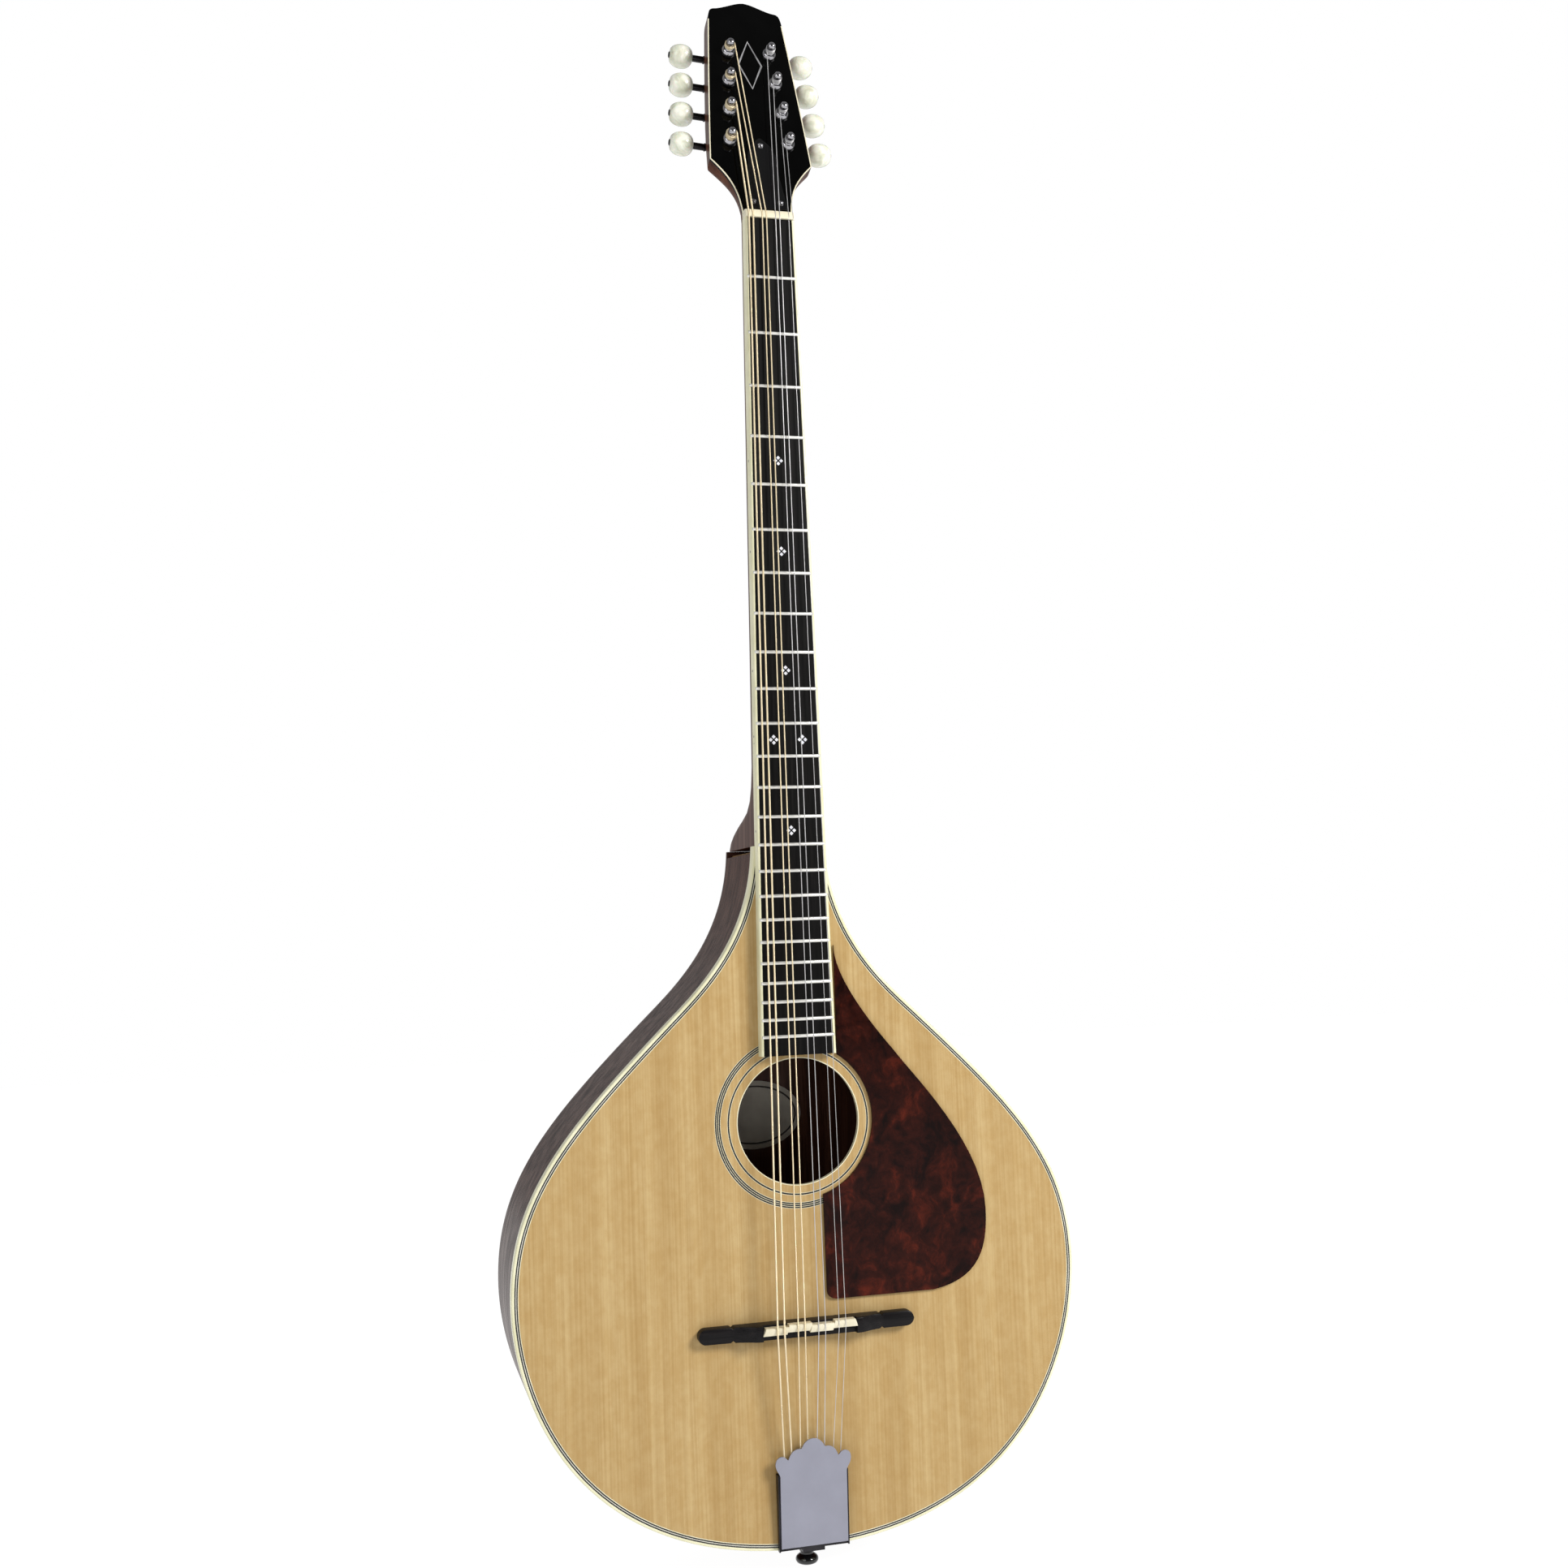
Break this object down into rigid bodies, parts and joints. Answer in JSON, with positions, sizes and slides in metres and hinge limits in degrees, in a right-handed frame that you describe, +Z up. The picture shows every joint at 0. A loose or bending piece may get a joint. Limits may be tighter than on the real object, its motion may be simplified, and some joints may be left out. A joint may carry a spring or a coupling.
{
  "type": "flat-top bouzouki",
  "caption": "Long-necked teardrop flat-top string instrument of the mandolin family, with geared tuners that turn, coupled posts and a slide-off tailpiece cover.",
  "frame": {"origin": "centre of the nut's front edge, on the plane of the fretboard's top, where a hanger's yoke holds the instrument under its headstock", "axes": "+Z up the neck to the headstock, -Y out of the front, +X to the treble side (the viewer's right from the front)"},
  "size_m": [0.334, 0.0986, 0.9504],
  "materials": {
    "spruce_top": "gloss lacquer over fine straight grain",
    "rib_wood": "gloss lacquer, dark reddish brown",
    "neck_wood": "satin lacquer, reddish brown",
    "brace_wood": "bare sawn wood",
    "ebony": "oiled, near black",
    "ivory_plastic": "polished cream plastic",
    "bone": "polished bone",
    "pearl_plastic": "pearly white plastic",
    "tortoise_plastic": "dark brown with red flecks, polished",
    "black_plastic": "polished black",
    "nickel": "polished nickel plate",
    "steel": "bright steel",
    "steel_string": "plain drawn wire",
    "bronze_string": "wound bronze wire",
    "brass": "machined brass"
  },
  "bodies": {
    "instrument": {"soundboard": "spruce_top", "back_plate": "rib_wood", "side_bass": "rib_wood", "side_treble": "rib_wood", "neck_block": "brace_wood", "tail_block": "brace_wood", "lining_top_bass": "brace_wood", "lining_top_treble": "brace_wood", "lining_back_bass": "brace_wood", "lining_back_treble": "brace_wood", "brace_above_hole": "brace_wood", "brace_below_hole": "brace_wood", "tone_bar_bass": "brace_wood", "tone_bar_treble": "brace_wood", "back_brace_upper": "brace_wood", "back_brace_middle": "brace_wood", "back_brace_lower": "brace_wood", "body_binding": "ivory_plastic", "pickguard": "tortoise_plastic", "neck": "neck_wood", "truss_rod": "steel", "truss_rod_cover": "black_plastic", "headstock_overlay": "black_plastic", "fretboard": "ebony", "fretboard_binding_bass": "ivory_plastic", "fretboard_binding_treble": "ivory_plastic", "nut": "bone", "bridge": "ebony", "saddle": "bone", "tailpiece_base": "nickel", "end_pin": "black_plastic", "tuner_plate_bass": "nickel", "tuner_plate_treble": "nickel", "string_1": "steel_string", "string_2": "steel_string", "string_3": "steel_string", "string_4": "steel_string", "string_5": "bronze_string", "string_6": "bronze_string", "string_7": "bronze_string", "string_8": "bronze_string"},
    "cover": {"tailpiece_cover": "nickel"},
    "rod_nut": {"truss_rod_nut": "brass"},
    "knob_1": {"tuner_knob_1": "pearl_plastic"},
    "post_1": {"tuner_post_1": "steel"},
    "knob_2": {"tuner_knob_2": "pearl_plastic"},
    "post_2": {"tuner_post_2": "steel"},
    "knob_3": {"tuner_knob_3": "pearl_plastic"},
    "post_3": {"tuner_post_3": "steel"},
    "knob_4": {"tuner_knob_4": "pearl_plastic"},
    "post_4": {"tuner_post_4": "steel"},
    "knob_5": {"tuner_knob_5": "pearl_plastic"},
    "post_5": {"tuner_post_5": "steel"},
    "knob_6": {"tuner_knob_6": "pearl_plastic"},
    "post_6": {"tuner_post_6": "steel"},
    "knob_7": {"tuner_knob_7": "pearl_plastic"},
    "post_7": {"tuner_post_7": "steel"},
    "knob_8": {"tuner_knob_8": "pearl_plastic"},
    "post_8": {"tuner_post_8": "steel"}
  },
  "joints": [
    {"name": "cover_slide", "type": "slide", "parent": "instrument", "child": "cover", "axis": [0, 0.0526, -0.9986], "range_m": [0, 0.045]},
    {"name": "rod_nut_turn", "type": "hinge", "parent": "instrument", "child": "rod_nut", "pos_m": [0, 0.0116, 0], "axis": [0, 0, 1], "range_deg": [-360, 360]},
    {"name": "knob_1_turn", "type": "hinge", "parent": "instrument", "child": "knob_1", "pos_m": [0.0177, 0.03954, 0.05961], "axis": [0.9972, 0.0194, 0.0724], "continuous": true},
    {"name": "post_1_turn", "type": "hinge", "parent": "instrument", "child": "post_1", "pos_m": [0.0183, 0.01922, 0.0568], "axis": [0, -0.9659, 0.2588], "continuous": true},
    {"name": "knob_2_turn", "type": "hinge", "parent": "instrument", "child": "knob_2", "pos_m": [0.01598, 0.04548, 0.08176], "axis": [0.9972, 0.0194, 0.0724], "continuous": true},
    {"name": "post_2_turn", "type": "hinge", "parent": "instrument", "child": "post_2", "pos_m": [0.01657, 0.02516, 0.07895], "axis": [0, -0.9659, 0.2588], "continuous": true},
    {"name": "knob_3_turn", "type": "hinge", "parent": "instrument", "child": "knob_3", "pos_m": [0.01425, 0.05141, 0.10392], "axis": [0.9972, 0.0194, 0.0724], "continuous": true},
    {"name": "post_3_turn", "type": "hinge", "parent": "instrument", "child": "post_3", "pos_m": [0.01485, 0.03109, 0.1011], "axis": [0, -0.9659, 0.2588], "continuous": true},
    {"name": "knob_4_turn", "type": "hinge", "parent": "instrument", "child": "knob_4", "pos_m": [0.01253, 0.05735, 0.12607], "axis": [0.9972, 0.0194, 0.0724], "continuous": true},
    {"name": "post_4_turn", "type": "hinge", "parent": "instrument", "child": "post_4", "pos_m": [0.01313, 0.03703, 0.12326], "axis": [0, -0.9659, 0.2588], "continuous": true},
    {"name": "knob_5_turn", "type": "hinge", "parent": "instrument", "child": "knob_5", "pos_m": [-0.01253, 0.05735, 0.12607], "axis": [-0.9972, 0.0194, 0.0724], "continuous": true},
    {"name": "post_5_turn", "type": "hinge", "parent": "instrument", "child": "post_5", "pos_m": [-0.01313, 0.03703, 0.12326], "axis": [0, -0.9659, 0.2588], "continuous": true},
    {"name": "knob_6_turn", "type": "hinge", "parent": "instrument", "child": "knob_6", "pos_m": [-0.01425, 0.05141, 0.10392], "axis": [-0.9972, 0.0194, 0.0724], "continuous": true},
    {"name": "post_6_turn", "type": "hinge", "parent": "instrument", "child": "post_6", "pos_m": [-0.01485, 0.03109, 0.1011], "axis": [0, -0.9659, 0.2588], "continuous": true},
    {"name": "knob_7_turn", "type": "hinge", "parent": "instrument", "child": "knob_7", "pos_m": [-0.01598, 0.04548, 0.08176], "axis": [-0.9972, 0.0194, 0.0724], "continuous": true},
    {"name": "post_7_turn", "type": "hinge", "parent": "instrument", "child": "post_7", "pos_m": [-0.01657, 0.02516, 0.07895], "axis": [0, -0.9659, 0.2588], "continuous": true},
    {"name": "knob_8_turn", "type": "hinge", "parent": "instrument", "child": "knob_8", "pos_m": [-0.0177, 0.03954, 0.05961], "axis": [-0.9972, 0.0194, 0.0724], "continuous": true},
    {"name": "post_8_turn", "type": "hinge", "parent": "instrument", "child": "post_8", "pos_m": [-0.0183, 0.01922, 0.0568], "axis": [0, -0.9659, 0.2588], "continuous": true}
  ],
  "couplings": [
    {"joint": "post_1_turn", "follows": "knob_1_turn", "ratio": 0.071429},
    {"joint": "post_2_turn", "follows": "knob_2_turn", "ratio": 0.071429},
    {"joint": "post_3_turn", "follows": "knob_3_turn", "ratio": 0.071429},
    {"joint": "post_4_turn", "follows": "knob_4_turn", "ratio": 0.071429},
    {"joint": "post_5_turn", "follows": "knob_5_turn", "ratio": -0.071429},
    {"joint": "post_6_turn", "follows": "knob_6_turn", "ratio": -0.071429},
    {"joint": "post_7_turn", "follows": "knob_7_turn", "ratio": -0.071429},
    {"joint": "post_8_turn", "follows": "knob_8_turn", "ratio": -0.071429}
  ]
}
